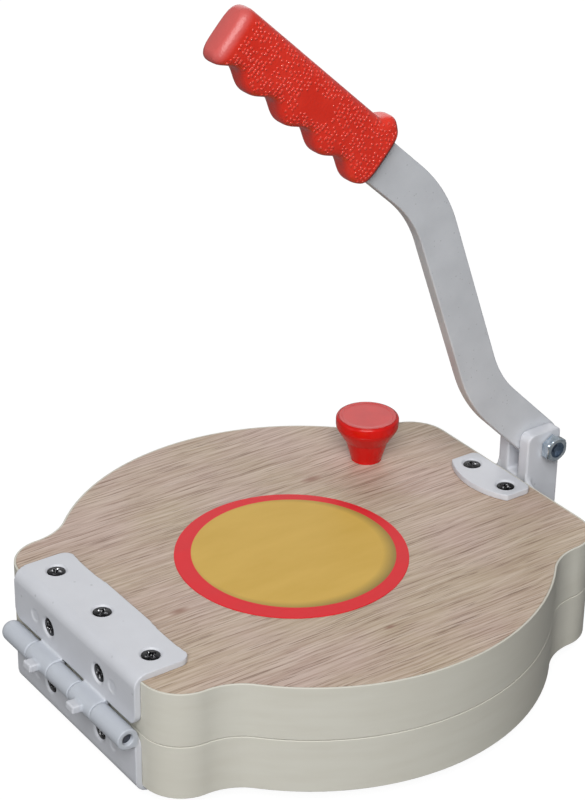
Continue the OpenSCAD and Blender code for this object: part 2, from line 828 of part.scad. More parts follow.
function thumb(s) =
    let (off = (s - thumb_at) / thumb_half)
    abs(off) < 1 ? thumb_h * (1 + cos(180 * off)) / 2 : 0;
function waves(s) = wave_h * cos(360 * (s - wave_start) / wave_pitch);
function up_at(s) = grip_up + thumb(s) - round_off(s);
function down_at(s) = grip_down - grip_taper * s / grip_len - waves(s) - round_off(s);
function half_t_at(s) = grip_half_t - round_off(s);
function bulge(c) = sign(c) * abs(c) ^ section_power;

function ring(s) = [
    for (i = [0 : ring_n - 1])
        let (a = 360 * i / ring_n)
        [s, bulge(sin(a)) * (sin(a) > 0 ? up_at(s) : down_at(s)), bulge(cos(a)) * half_t_at(s)]
];

module grip_body() {
    last = len(ring_at) - 1;
    points = concat([for (s = ring_at) each ring(s)], [[0, 0, 0], [grip_len, 0, 0]]);
    sides = [
        for (k = [0 : last - 1], i = [0 : ring_n - 1])
            let (j = (i + 1) % ring_n, a = k * ring_n, b = a + ring_n)
            each [[a + i, b + i, b + j], [a + i, b + j, a + j]]
    ];
    mouth = [for (i = [0 : ring_n - 1]) [len(points) - 2, i, (i + 1) % ring_n]];
    end = last * ring_n;
    tip = [for (i = [0 : ring_n - 1]) [len(points) - 1, end + (i + 1) % ring_n, end + i]];
    polyhedron(points = points, faces = concat(sides, mouth, tip));
}

module on_grip_line() translate(mouth_at) rotate(grip_angle) children();

// Room for a stretch of the bar in the grip
module bar_room(from, len, w)
    translate([from, -w / 2 - tang_gap, -bar_t / 2 - tang_gap])
        cube([len, w + 2 * tang_gap, bar_t + 2 * tang_gap]);

module lever_grip()
    color("red") lever_side() on_grip_line() difference() {
        grip_body();
        bar_room(-proud, shoulder_len + tang_gap + proud, bar_w);
        bar_room(0, shoulder_len + tang_len + tang_gap, tang_w);
    }

centred() lower_board_core();
centred() lower_press_laminate();
centred() lower_base_laminate();
centred() lower_edge_band();
centred() lower_hinge_leaf();
centred() hinge_pin();
centred() lower_leaf_screws();
centred() lever_bracket();
centred() bracket_screws();
centred() pivot_bolt();
centred() pivot_washer();
centred() pivot_nut();
centred() rubber_feet();
centred() feet_screws();
centred() upper_board_core();
centred() upper_top_laminate();
centred() upper_press_laminate();
centred() upper_edge_band();
centred() upper_hinge_leaf();
centred() upper_leaf_screws();
centred() strike_plate();
centred() strike_plate_screws();
centred() lid_knob();
centred() knob_stud();
centred() round_badge();
centred() pivot_bush();
centred() lever_arm();
centred() lever_grip();
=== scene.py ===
import json
import math

import bmesh
import bpy
import numpy as np
from mathutils import Matrix, Vector


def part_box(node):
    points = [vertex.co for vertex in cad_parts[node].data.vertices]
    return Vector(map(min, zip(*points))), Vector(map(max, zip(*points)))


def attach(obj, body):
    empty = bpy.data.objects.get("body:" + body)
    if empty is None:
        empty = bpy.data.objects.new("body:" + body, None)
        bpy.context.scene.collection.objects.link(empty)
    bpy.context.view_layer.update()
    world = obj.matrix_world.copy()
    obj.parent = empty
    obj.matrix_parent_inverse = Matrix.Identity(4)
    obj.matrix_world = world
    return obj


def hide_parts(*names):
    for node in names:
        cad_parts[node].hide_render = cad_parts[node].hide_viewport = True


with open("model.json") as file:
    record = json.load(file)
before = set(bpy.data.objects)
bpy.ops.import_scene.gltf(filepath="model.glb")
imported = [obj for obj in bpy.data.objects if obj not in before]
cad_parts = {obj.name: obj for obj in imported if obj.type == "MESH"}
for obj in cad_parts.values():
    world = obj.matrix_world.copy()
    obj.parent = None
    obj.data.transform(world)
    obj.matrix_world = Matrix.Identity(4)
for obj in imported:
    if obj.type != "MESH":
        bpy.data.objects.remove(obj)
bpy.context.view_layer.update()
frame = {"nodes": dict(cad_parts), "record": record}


# Lower board: a wood core with a plain laminate on both faces, cut to the same plan as the lid.
# The skins are pressed on with glue and trimmed flush; the core itself shows only in the screw holes.

def srgb(red, green, blue):
    """A colour as it looks on a screen, 0 to 255, turned into the linear values shaders use."""
    return tuple(
        level / 12.92 if level <= 0.04045 else ((level + 0.055) / 1.055) ** 2.4
        for level in (red / 255, green / 255, blue / 255)
    ) + (1.0,)


def node(tree, kind, inputs=None, **settings):
    """A node whose inputs are set to a value, or joined to another node's output."""
    new = tree.nodes.new(kind)
    for key, value in settings.items():
        setattr(new, key, value)
    for key, value in (inputs or {}).items():
        if isinstance(value, bpy.types.NodeSocket):
            tree.links.new(value, new.inputs[key])
        else:
            new.inputs[key].default_value = value
    return new


def place_on(tree):
    """Where a point of the surface lies on its piece, in metres."""
    return node(tree, "ShaderNodeTexCoord").outputs["Object"]


def noise(tree, where, scale, detail, roughness=0.5):
    """Cloudy noise from 0 to 1, mostly near a half."""
    inputs = {"Vector": where, "Scale": scale, "Detail": detail, "Roughness": roughness}
    return node(tree, "ShaderNodeTexNoise", inputs).outputs["Fac"]


def ranged(tree, value, low, high, start=0.0, end=1.0):
    """Goes from low to high while a value goes from start to end."""
    inputs = {"Value": value, "From Min": start, "From Max": end, "To Min": low, "To Max": high}
    return node(tree, "ShaderNodeMapRange", inputs).outputs["Result"]


def number(tree, operation, first, second):
    """Arithmetic on two numbers."""
    return node(tree, "ShaderNodeMath", {0: first, 1: second}, operation=operation).outputs[0]


def times(tree, place, scales):
    """A place with each of its three measures multiplied."""
    return node(tree, "ShaderNodeVectorMath", {0: place, 1: scales}, operation="MULTIPLY").outputs[0]


def tones(tree, value, *stops):
    """A colour that goes through stops, each a value and its colour, from the lowest value up."""
    ramp = node(tree, "ShaderNodeValToRGB", {"Fac": value})
    marks = ramp.color_ramp.elements
    for mark, (place, colour) in zip(marks, (stops[0], stops[-1])):
        mark.position = place
        mark.color = colour
    for place, colour in stops[1:-1]:
        marks.new(place).color = colour
    return ramp.outputs["Color"]


def mixed(tree, share, first, second):
    """A colour with a share of a second one in it."""
    inputs = {"Fac": share, "Color1": first, "Color2": second}
    return node(tree, "ShaderNodeMixRGB", inputs).outputs["Color"]


def material(name, **sockets):
    """A Principled material. Sockets are named with underscores for spaces."""
    mat = bpy.data.materials.new(name)
    mat.use_nodes = True
    shader = mat.node_tree.nodes["Principled BSDF"]
    for key, value in sockets.items():
        shader.inputs[key.replace("_", " ")].default_value = value
    return mat, mat.node_tree


def finish(tree, **outputs):
    """Joins what changes over the surface to a material's shader, with sockets named as in material."""
    shader = tree.nodes["Principled BSDF"]
    for key, output in outputs.items():
        tree.links.new(output, shader.inputs[key.replace("_", " ")])


def clouded(name, tints, scale, detail, sheen, **sockets):
    """A material that is slightly cloudy: its tints and its roughness follow one noise."""
    mat, tree = material(name, **sockets)
    cloud = noise(tree, place_on(tree), scale, detail)
    finish(tree, Base_Color=tones(tree, cloud, *tints), Roughness=ranged(tree, cloud, *sheen))
    return mat


def effect(name, sizes, results):
    """An empty shader node group, with sizes as its inputs and results as its outputs."""
    group = bpy.data.node_groups.new(name, "ShaderNodeTree")
    for label, value in sizes.items():
        socket = group.interface.new_socket(label, in_out="INPUT", socket_type="NodeSocketFloat")
        socket.default_value = value
    for label in results:
        group.interface.new_socket(label, in_out="OUTPUT", socket_type="NodeSocketFloat")
    return group, group.nodes.new("NodeGroupInput").outputs, group.nodes.new("NodeGroupOutput").inputs


def place_effect(tree, group, **sizes):
    """A group's results in a material, for the material's own sizes."""
    new = node(tree, "ShaderNodeGroup", node_tree=group)
    for key, value in sizes.items():
        new.inputs[key.replace("_", " ")].default_value = value
    return new.outputs


def dress(name, mat):
    """Gives a carried-over CAD piece its finish."""
    part = frame["nodes"][name]
    part.data.materials.clear()
    part.data.materials.append(mat)


# Streaks that run along the board, shared by the wood core and the decor skin.
grain, grain_size, grain_result = effect(
    "board_grain", {"Streak Width": 0.004, "Streak Length": 0.1}, ("Streak", "Pore"),
)
layers_per_metre = 20.0
sway_share = 0.003
pore_fineness = (2.0, 1.3, 1.0)
where = place_on(grain)
across = number(grain, "DIVIDE", 1.0, grain_size["Streak Width"])
along = number(grain, "DIVIDE", 1.0, grain_size["Streak Length"])
per_metre = node(grain, "ShaderNodeCombineXYZ", {"X": across, "Y": along, "Z": layers_per_metre})
sway = node(grain, "ShaderNodeTexNoise", {"Vector": where, "Scale": 16.0, "Detail": 2.0})
swayed = mixed(grain, sway_share, where, sway.outputs["Color"])
drawn_out = times(grain, swayed, per_metre.outputs["Vector"])
streak = noise(grain, drawn_out, scale=1.0, detail=6.0, roughness=0.66)
pore = noise(grain, times(grain, drawn_out, pore_fineness), scale=1.0, detail=3.0, roughness=0.7)
grain.links.new(streak, grain_result["Streak"])
grain.links.new(ranged(grain, pore, 0.0, 1.0, start=0.55, end=0.64), grain_result["Pore"])

core_wood, tree = material("core_wood", Roughness=0.8)
core_grain = place_effect(tree, grain, Streak_Width=0.006, Streak_Length=0.08)
core_tints = (0.3, srgb(168, 134, 98)), (0.7, srgb(204, 172, 132))
finish(tree, Base_Color=tones(tree, core_grain["Streak"], *core_tints))
dress("lower_board_core", core_wood)

skin_tints = (0.3, srgb(222, 219, 210)), (0.7, srgb(233, 231, 224))
plain_skin = clouded("plain_skin", skin_tints, scale=45.0, detail=4.0, sheen=(0.28, 0.42))
dress("lower_press_laminate", plain_skin)
dress("lower_base_laminate", plain_skin)


# Edge bands: cream plastic strip ironed round each board's edge and scraped flush with the skins.
# The scraped corners are eased, and catch a thin line of light at the top.

MM = 0.001
band_corner = 0.35 * MM


def stand_for(part, name, body, mat):
    """Puts a new piece in the place of a CAD piece, on its body and with its finish."""
    part.data.materials.append(mat)
    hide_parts(name)
    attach(part, body)


def copied(name, label, merge=False):
    """A new object with a copy of a CAD piece's mesh, its flat faces merged if asked."""
    mesh = frame["nodes"][name].data.copy()
    mesh.name = label
    mesh.materials.clear()
    shape = bmesh.new()
    shape.from_mesh(mesh)
    bmesh.ops.remove_doubles(shape, verts=shape.verts, dist=0.001 * MM)
    if merge:
        bmesh.ops.dissolve_limit(
            shape, angle_limit=math.radians(0.6), verts=shape.verts, edges=shape.edges,
        )
    for face in shape.faces:
        face.smooth = True
    shape.to_mesh(mesh)
    shape.free()
    part = bpy.data.objects.new(label, mesh)
    bpy.context.collection.objects.link(part)
    return part


def eased(name, body, mat, width, merge=False):
    """A copy of a CAD piece with its sharp corners rounded, which stands for that piece."""
    part = copied(name, name + "_eased", merge)
    bevel = part.modifiers.new("eased_corners", "BEVEL")
    bevel.width = width
    bevel.segments = 3
    bevel.limit_method = "ANGLE"
    bevel.angle_limit = math.radians(35)
    bevel.use_clamp_overlap = False
    flats = part.modifiers.new("flat_faces", "WEIGHTED_NORMAL")
    flats.weight = 90
    stand_for(part, name, body, mat)


def relief(tree, height, strength, depth, sunk=False):
    """A skin with fine relief, raised or sunk by up to a depth in metres."""
    inputs = {"Height": height, "Strength": strength, "Distance": depth}
    return node(tree, "ShaderNodeBump", inputs, invert=sunk).outputs["Normal"]


band_plastic, tree = material("band_plastic", Specular_IOR_Level=0.28)
where = place_on(tree)
drawn_lines = node(tree, "ShaderNodeMapping", {"Vector": where, "Scale": (40.0, 40.0, 260.0)})
drawn = noise(tree, drawn_lines.outputs[0], scale=1.0, detail=5.0)
patchy = number(tree, "MULTIPLY", noise(tree, where, scale=14.0, detail=2.0), drawn)
finish(
    tree,
    Base_Color=tones(tree, patchy, (0.1, srgb(206, 203, 191)), (0.42, srgb(211, 209, 198))),
    Roughness=ranged(tree, drawn, 0.38, 0.56),
    Normal=relief(tree, drawn, strength=0.06, depth=0.5 * MM),
)
eased("lower_edge_band", "base", band_plastic, band_corner)


# Feet: four moulded rubber discs under the base, which keep it from sliding on the table.
# Each is held by a black countersunk screw, and its rims are rounded by the mould.

rubber_tints = (0.0, srgb(30, 30, 31)), (1.0, srgb(52, 52, 52))
rubber = clouded(
    "rubber", rubber_tints, scale=350.0, detail=4.0, sheen=(0.6, 0.85), Specular_IOR_Level=0.3,
)
eased("rubber_feet", "base", rubber, width=0.6 * MM)


# Screws: black oxide cross-head wood screws, sunk under the face of the metal that they hold.
# The heads are slightly domed; the oxide is thin, so the rims of the cross show bright steel.

head_r = 4.0
dome_h = 0.45
shank_r = 2.2
point_len = 1.0
cross_deep = 1.3
cross_rise = 0.5
arm_half = 0.55
arm_reach = 2.5
arm_end = 0.5
arm_soft = 0.2
twist_step = 37.0
twist_count = 9
head_rings = 20
head_turns = 56


def step_down(value, full, none):
    """1 up to full, 0 from none on, and smooth between."""
    share = min(1.0, max(0.0, (none - value) / (none - full)))
    return share * share * (3 - 2 * share)


def islands(mesh):
    """The points of each loose solid in a mesh."""
    shape = bmesh.new()
    shape.from_mesh(mesh)
    bmesh.ops.remove_doubles(shape, verts=shape.verts, dist=0.001 * MM)
    seen = set()
    groups = []
    for start in shape.verts:
        if start in seen:
            continue
        seen.add(start)
        group = []
        edge = [start]
        while edge:
            point = edge.pop()
            group.append(point.co.copy())
            for line in point.link_edges:
                other = line.other_vert(point)
                if other not in seen:
                    seen.add(other)
                    edge.append(other)
        groups.append(group)
    shape.free()
    return groups


def stitch(shape, rings):
    """Faces from each ring of points to the next. A ring of one point is a tip."""
    for low, high in zip(rings, rings[1:]):
        for k in range(max(len(low), len(high))):
            corners = [low[k % len(low)], low[(k + 1) % len(low)]]
            corners += [high[(k + 1) % len(high)], high[k % len(high)]]
            shape.faces.new(list(dict.fromkeys(corners)))


def made(shape, label, crease=None):
    """A new object from a finished mesh, smooth all over but for bends past a crease angle in degrees."""
    for face in shape.faces:
        face.smooth = True
    bmesh.ops.recalc_face_normals(shape, faces=shape.faces)
    if crease:
        for edge in shape.edges:
            edge.smooth = edge.calc_face_angle(0.0) < math.radians(crease)
    mesh = bpy.data.meshes.new(label)
    shape.to_mesh(mesh)
    shape.free()
    part = bpy.data.objects.new(label, mesh)
    bpy.context.collection.objects.link(part)
    return part


def painted(tree, label):
    """A value that the mesh holds at each of its points."""
    return node(tree, "ShaderNodeAttribute", attribute_name=label).outputs["Fac"]


def screw_place(points):
    """The middle of a CAD screw, the way that its head faces, and its length."""
    low = Vector([min(p[k] for p in points) for k in range(3)])
    high = Vector([max(p[k] for p in points) for k in range(3)])
    middle = (low + high) / 2
    span = high - low
    along = max(range(3), key=lambda k: span[k])
    wide = [sum((p - middle)[k] ** 2 for k in range(3) if k != along) for p in points]
    widest = points[wide.index(max(wide))]
    out = Vector((0, 0, 0))
    out[along] = 1.0 if widest[along] > middle[along] else -1.0
    return middle, out, span[along]


def add_screw(shape, wear, points):
    """Adds a domed cross-head screw in the place of the CAD screw that has these points."""
    middle, out, length = screw_place(points)
    top = middle + out * length / 2
    side = Vector((out.y, out.z, out.x))
    other = out.cross(side)
    # The place, in whole mm, picks one of a few turns, so that neighbours don't all stop alike.
    whole_mm = round((middle.x + middle.y + middle.z) / MM)
    twist = math.radians(twist_step * (whole_mm % twist_count))

    def at(r, turn, z):
        """A new point of the screw, r from its axis and z above the rim of its head."""
        place = side * r * math.cos(turn) + other * r * math.sin(turn) + out * z
        return shape.verts.new(top + place * MM)

    rings = []
    for step in range(head_rings + 1):
        r = head_r * step / head_rings
        ring = []
        for k in range(head_turns if step else 1):
            turn = 2 * math.pi * k / head_turns
            near, far = sorted((abs(r * math.cos(turn)), abs(r * math.sin(turn))))
            in_arm = step_down(near, arm_half - arm_soft, arm_half + arm_soft)
            in_arm *= step_down(far, arm_reach - arm_end, arm_reach + arm_soft)
            fall = cross_deep * (1 - cross_rise * far / arm_reach)
            point = at(r, turn + twist, dome_h * (1 - (r / head_r) ** 2) - fall * in_arm)
            point[wear] = 4 * in_arm * (1 - in_arm)
            ring.append(point)
        rings.append(ring)
    end = -length / MM
    for r, z in ((shank_r, shank_r - head_r), (shank_r, end + point_len), (0.0, end)):
        rings.append([at(r, 2 * math.pi * k / head_turns, z) for k in range(head_turns if r else 1)])
    stitch(shape, rings)


def screws(name, body):
    """Domed cross-head screws in the places of a CAD piece's screws, which they stand for."""
    shape = bmesh.new()
    wear = shape.verts.layers.float.new("wear")
    for points in islands(frame["nodes"][name].data):
        add_screw(shape, wear, points)
    stand_for(made(shape, name + "_domed"), name, body, black_steel)


black_steel, tree = material("black_steel", Metallic=1.0)
oxide = noise(tree, place_on(tree), scale=900.0, detail=3.0)
oxide_tint = tones(tree, oxide, (0.35, srgb(8, 8, 9)), (0.75, srgb(34, 34, 37)))
thin_oxide = ranged(tree, oxide, 0.0, 1.0, start=0.45, end=0.6)
rubbed = number(tree, "MULTIPLY", painted(tree, "wear"), thin_oxide)
finish(
    tree,
    Base_Color=mixed(tree, rubbed, oxide_tint, srgb(225, 225, 228)),
    Roughness=ranged(tree, oxide, 0.16, 0.34),
)
for name in ("feet_screws", "lower_leaf_screws", "bracket_screws"):
    screws(name, "base")


# Base hinge leaf: a cast angle with three barrels, screwed to the board's end and underside.
# The powder coat is pale grey, a little uneven over the casting, and fills the corners softly.
# Its coat is painted greyer on the barrels, round the pin's line, as painted shade.

coat, coat_size, coat_result = effect(
    "powder_coat", {"Peel Size": 0.0012, "Pit Size": 0.005}, ("Shade", "Gloss", "Height", "Pit"),
)
without_pit = 0.62
where = place_on(coat)
cloud = noise(coat, where, scale=60.0, detail=3.0)
peel = noise(coat, where, number(coat, "DIVIDE", 1.0, coat_size["Peel Size"]), detail=3.0)
pit_scale = number(coat, "DIVIDE", 1.0, coat_size["Pit Size"])
cell = node(coat, "ShaderNodeTexVoronoi", {"Vector": where, "Scale": pit_scale, "Randomness": 1.0})
cell_chance = node(coat, "ShaderNodeSeparateColor", {"Color": cell.outputs["Color"]}).outputs[0]
has_pit = number(coat, "GREATER_THAN", cell_chance, without_pit)
in_dot = ranged(coat, cell.outputs["Distance"], 1.0, 0.0, start=0.05, end=0.13)
pit = number(coat, "MULTIPLY", in_dot, has_pit)
coat.links.new(cloud, coat_result["Shade"])
coat.links.new(ranged(coat, cloud, 0.34, 0.5), coat_result["Gloss"])
coat.links.new(number(coat, "SUBTRACT", peel, pit), coat_result["Height"])
coat.links.new(pit, coat_result["Pit"])


def joint_at(name):
    """A point on a joint's axis, in metres."""
    return next(j["pos_m"] for j in frame["record"]["behaviour"]["joints"] if j["name"] == name)


def distance_to(tree, place, spot):
    """How far a place is from a spot, in metres."""
    return node(tree, "ShaderNodeVectorMath", {0: place, 1: spot}, operation="DISTANCE").outputs["Value"]


def coated(name, tints, pit_tint, peel_size, pit_size, peel_strength, painted_shade=None):
    """Powder coat with its own tints, orange peel and pits, and painted shade that greys it round a line
    along X if asked.
    """
    mat, tree = material(name)
    layer = place_effect(tree, coat, Peel_Size=peel_size, Pit_Size=pit_size)
    colour = mixed(tree, layer["Pit"], tones(tree, layer["Shade"], *tints), pit_tint)
    if painted_shade:
        line, full, none, grey = painted_shade
        away = distance_to(tree, times(tree, place_on(tree), (0.0, 1.0, 1.0)), (0.0, line[1], line[2]))
        colour = mixed(tree, ranged(tree, away, 1.0, 0.0, full, none), colour, grey)
    finish(
        tree,
        Base_Color=colour,
        Roughness=layer["Gloss"],
        Normal=relief(tree, layer["Height"], peel_strength, depth=0.3 * MM),
    )
    return mat


def casting(name, body, mat, grain_width, softness):
    """A copy of a CAD casting whose corners and inner angles are rounded as the coat leaves them."""
    part = copied(name, name + "_cast")
    skin = part.modifiers.new("cast_skin", "REMESH")
    skin.mode = "VOXEL"
    skin.voxel_size = grain_width
    skin.use_smooth_shade = True
    soft = part.modifiers.new("soft_corners", "SMOOTH")
    soft.factor = 0.5
    soft.iterations = softness
    stand_for(part, name, body, mat)


leaf_grain = 0.4 * MM
leaf_softness = 4
cast_tints = (0.3, srgb(203, 205, 211)), (0.7, srgb(210, 212, 218))
# Painted shade: the coat is fully grey within 5 mm of the pin's line and fades out by 6.5 mm.
barrel_shade = joint_at("lid_hinge"), 5.0 * MM, 6.5 * MM, srgb(188, 193, 201)
cast_coat = coated(
    "cast_coat", cast_tints, srgb(188, 190, 195),
    peel_size=1.4 * MM, pit_size=6.0 * MM, peel_strength=0.1, painted_shade=barrel_shade,
)
casting("lower_hinge_leaf", "base", cast_coat, leaf_grain, leaf_softness)


# Hinge pin: a plain steel rod driven through all five barrels, its ends a little inside.
# Its steel is given darker tints than the plated bolt, so that its ends look dark.

def steel(name, dark, pale, sheen):
    """Steel that is slightly cloudy, from its darkest to its palest tint."""
    tints = (0.3, dark), (0.72, pale)
    return clouded(name, tints, scale=420.0, detail=5.0, sheen=sheen, Metallic=1.0)


pin_steel = steel("pin_steel", srgb(78, 80, 86), srgb(112, 114, 120), (0.25, 0.4))
dress("hinge_pin", pin_steel)


# Fork: a cast bracket screwed to the base's far end, with two cheeks that hold the lever's bolt.
# It has the same pale coat as the hinge, and wider rounded corners than the leaves.

casting("lever_bracket", "base", cast_coat, grain_width=0.45 * MM, softness=14)


# Pivot: a zinc-plated hex bolt through both cheeks, with a washer and nut on the far side.
# The head is cold formed with its corners turned off and a dish in its top.
# The dish is painted dark blue, a painted reflection in place of the dark that its hollow mirrors.

bolt_low, bolt_high = (Vector(corner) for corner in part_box("pivot_bolt"))
bolt_at = Vector((0.0, (bolt_low.y + bolt_high.y) / 2, (bolt_low.z + bolt_high.z) / 2))
head_out = bolt_high.x / MM
tail_out = bolt_low.x / MM
across_flats = 11.1
corner_r = 6.4
head_t = 4.4
dish_r = 4.3
dish_deep = 1.3
dish_steps = 8
painted_dark_r = 4.0
rod_r = 3.25
rod_tip_r = 2.3
thread_deep = 0.42
thread_pitch = 1.0
thread_start = 0.6
thread_len = 12.0
bolt_turns = 96

# The head from its underside up: distance below the top, radius, and whether it is a hexagon there.
head_stations = (
    (head_t, rod_r, False),
    (head_t, 5.4, True),
    (head_t - 0.15, corner_r, True),
    (1.5, corner_r, True),
    (0.9, 6.2, True),
    (0.45, 5.8, True),
    (0.15, 5.3, True),
    (0.0, 4.8, False),
)

# The whole bolt from its tail to the bottom of the dish: x, radius, and whether it is a hexagon there.
bolt_stations = [(tail_out, 0.0, False), (tail_out, rod_tip_r, False)]
for x in np.arange(tail_out + thread_start, tail_out + thread_len, thread_pitch):
    bolt_stations += [(x, rod_r - thread_deep, False), (x + thread_pitch / 2, rod_r, False)]
bolt_stations += [(head_out - below_top, radius, hexed) for below_top, radius, hexed in head_stations]
for k in range(dish_steps, -1, -1):
    sunk = dish_deep * math.cos(math.pi / 2 * k / dish_steps) ** 2
    bolt_stations.append((head_out - sunk, dish_r * k / dish_steps, False))

shape = bmesh.new()
rings = []
for x, radius, hexed in bolt_stations:
    ring = []
    for k in range(bolt_turns if radius else 1):
        turn = 2 * math.pi * k / bolt_turns
        from_flat = (turn + math.pi / 6) % (math.pi / 3) - math.pi / 6
        r = min(radius, across_flats / 2 / math.cos(from_flat)) if hexed else radius
        ring.append(shape.verts.new(bolt_at + Vector((x, r * math.cos(turn), r * math.sin(turn))) * MM))
    rings.append(ring)
stitch(shape, rings)
bolt = made(shape, "hex_bolt", crease=28)

zinc = steel("zinc", srgb(160, 176, 190), srgb(228, 236, 242), (0.08, 0.2))
# Painted reflection: the zinc in the dish is darker and bluer than the rest of the head.
zinc_painted_dark = steel("zinc_painted_dark", srgb(62, 82, 108), srgb(122, 140, 160), (0.08, 0.2))
stand_for(bolt, "pivot_bolt", "base", zinc)
bolt.data.materials.append(zinc_painted_dark)
for face in bolt.data.polygons:
    off = (face.center - bolt_at) / MM
    if off.x > head_out - dish_deep and math.hypot(off.y, off.z) < painted_dark_r:
        face.material_index = 1
dress("pivot_nut", zinc)
eased("pivot_washer", "base", zinc, width=0.2 * MM)
dress("pivot_bush", zinc)


# Lid board: the same core and pressing skin, with a taupe wood-grain decor skin on top.
# The print has streaks along the board, short dark pores and a few small knots.

dress("upper_board_core", core_wood)
dress("upper_press_laminate", plain_skin)
eased("upper_edge_band", "lid", band_plastic, band_corner)

patch_share = 0.4
pore_share = 0.75
knot_share = 0.75
knot_core = 0.2
knot_shape = (1.0, 0.45, 0.0)
# Each knot is a place on the lid and a half width, in mm. The shape draws it out along the board.
knots = ((13.9, -78.8, 2.6), (71.7, -13.8, 1.6), (-45.0, 30.0, 3.0))
decor, tree = material("decor_print", Specular_IOR_Level=0.3)
where = place_on(tree)
lid_grain = place_effect(tree, grain, Streak_Width=1.2 * MM, Streak_Length=40.0 * MM)
streak_tint = tones(
    tree, lid_grain["Streak"],
    (0.36, srgb(161, 138, 120)), (0.5, srgb(189, 170, 155)), (0.64, srgb(215, 200, 187)),
)
patch = noise(tree, where, scale=22.0, detail=2.0)
patch_tint = tones(tree, patch, (0.35, srgb(192, 173, 142)), (0.65, srgb(197, 168, 158)))
print_tint = mixed(tree, patch_share, streak_tint, patch_tint)
in_pore = number(tree, "MULTIPLY", lid_grain["Pore"], pore_share)
print_tint = mixed(tree, in_pore, print_tint, srgb(118, 92, 74))
squeezed = times(tree, where, knot_shape)
for knot_x, knot_y, knot_r in knots:
    knot_at = (knot_x * knot_shape[0] * MM, knot_y * knot_shape[1] * MM, 0.0)
    away = distance_to(tree, squeezed, knot_at)
    in_knot = ranged(tree, away, knot_share, 0.0, start=knot_core * knot_r * MM, end=knot_r * MM)
    print_tint = mixed(tree, in_knot, print_tint, srgb(142, 102, 84))
finish(
    tree,
    Base_Color=print_tint,
    Roughness=ranged(tree, lid_grain["Streak"], 0.42, 0.58),
    Normal=relief(tree, lid_grain["Pore"], strength=0.25, depth=0.2 * MM, sunk=True),
)
dress("upper_top_laminate", decor)


# Lid hinge leaf: a cast angle like the base's, with two barrels on square webs and two stop nubs.
# It is coated like the base's leaf, and five screws hold it to the lid's top and end.

casting("upper_hinge_leaf", "lid", cast_coat, leaf_grain, leaf_softness)
screws("upper_leaf_screws", "lid")


# Strike plate: a small coated plate on the lid's far end, which takes the push of the lever.
# It is cast like the leaves, lies on the decor skin and has a screw at each end.

casting("strike_plate", "lid", cast_coat, grain_width=0.32 * MM, softness=leaf_softness)
screws("strike_plate_screws", "lid")


# Knob: a round moulding in glossy red plastic on a zinc stud, with a thin step under its head.
# Its top is sunk a little inside a rounded rim.

def underside(name):
    """The middle of a CAD piece's underside."""
    low, high = (Vector(corner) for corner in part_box(name))
    return Vector(((low.x + high.x) / 2, (low.y + high.y) / 2, low.z))


def rounded(corners, steps=6):
    """A profile whose corners are rounded: each corner is a radius, a height and a rounding."""
    points = []
    for k, (radius, height, round_by) in enumerate(corners):
        here = Vector((radius, height))
        if round_by == 0:
            points.append(here)
            continue
        back = Vector(corners[k - 1][:2]) - here
        on = Vector(corners[k + 1][:2]) - here
        start = here + back.normalized() * round_by
        end = here + on.normalized() * round_by
        for step in range(steps + 1):
            share = step / steps
            points.append(start * (1 - share) ** 2 + here * 2 * share * (1 - share) + end * share ** 2)
    return points


def lathe(label, corners, foot, turns):
    """A closed solid of revolution that stands on its foot, from the corners of its profile in mm."""
    shape = bmesh.new()
    rings = []
    for radius, height in rounded(corners):
        ring = []
        for k in range(turns if radius else 1):
            turn = 2 * math.pi * k / turns
            place = Vector((radius * math.cos(turn), radius * math.sin(turn), height))
            ring.append(shape.verts.new(foot + place * MM))
        rings.append(ring)
    stitch(shape, rings)
    return made(shape, label)


knob_corners = {
    "middle of the foot": (0, 0, 0),
    "edge of the foot": (7.2, 0, 0.5),
    "start of the stem": (7.2, 0.8, 0.3),
    "end of the stem": (10.2, 10.8, 0.3),
    "step": (10.9, 11.0, 0.2),
    "end of the flare": (14.3, 16.8, 0.9),
    "start of the rim": (14.5, 18.2, 0.6),
    "end of the rim": (14.5, 22.1, 1.4),
    "top of the lip": (12.4, 22.5, 0.8),
    "edge of the hollow": (11.2, 22.2, 0.6),
    "middle of the top": (0, 22.3, 0),
}
knob = lathe("moulded_knob", list(knob_corners.values()), underside("lid_knob"), turns=96)
knob_tints = (0.3, srgb(202, 10, 5)), (0.7, srgb(211, 15, 9))
red_gloss = clouded(
    "red_gloss", knob_tints, scale=130.0, detail=4.0, sheen=(0.1, 0.2), Specular_IOR_Level=0.33,
)
stand_for(knob, "lid_knob", "lid", red_gloss)
dress("knob_stud", zinc)


# Badge: a thin printed film stuck to the lid, a red ring round a plain gold field.
# The gold is darker under the ring's right side, as if it lay deeper.

badge_r = 50.5
film_t = 0.3
gold_r = 44.0
gold_off = Vector((-0.8, 1.6, 0.0))
shade_off = Vector((-3.0, 0.0, 0.0))
print_blur = 0.25
shade_blur = 3.0
badge_corners = {
    "middle of the underside": (0, 0, 0),
    "edge of the underside": (badge_r, 0, 0),
    "rim": (badge_r, film_t, 0.12),
    "inside the rim": (badge_r - 1.0, film_t, 0),
    "half way in": (30, film_t, 0),
    "middle of the print": (0, film_t, 0),
}
badge_at = underside("round_badge")
badge = lathe("printed_badge", list(badge_corners.values()), badge_at, turns=160)
film, tree = material("printed_film", Specular_IOR_Level=0.2)
where = place_on(tree)
flat = times(tree, where, (1.0, 1.0, 0.0))
flat_middle = Vector((badge_at.x, badge_at.y, 0.0))
from_gold = distance_to(tree, flat, flat_middle + gold_off * MM)
from_shade = distance_to(tree, flat, flat_middle + shade_off * MM)
is_ring = ranged(tree, from_gold, 0.0, 1.0, start=gold_r * MM, end=(gold_r + print_blur) * MM)
shade_start = (gold_r - shade_blur) * MM
shade_end = (gold_r + shade_blur) * MM
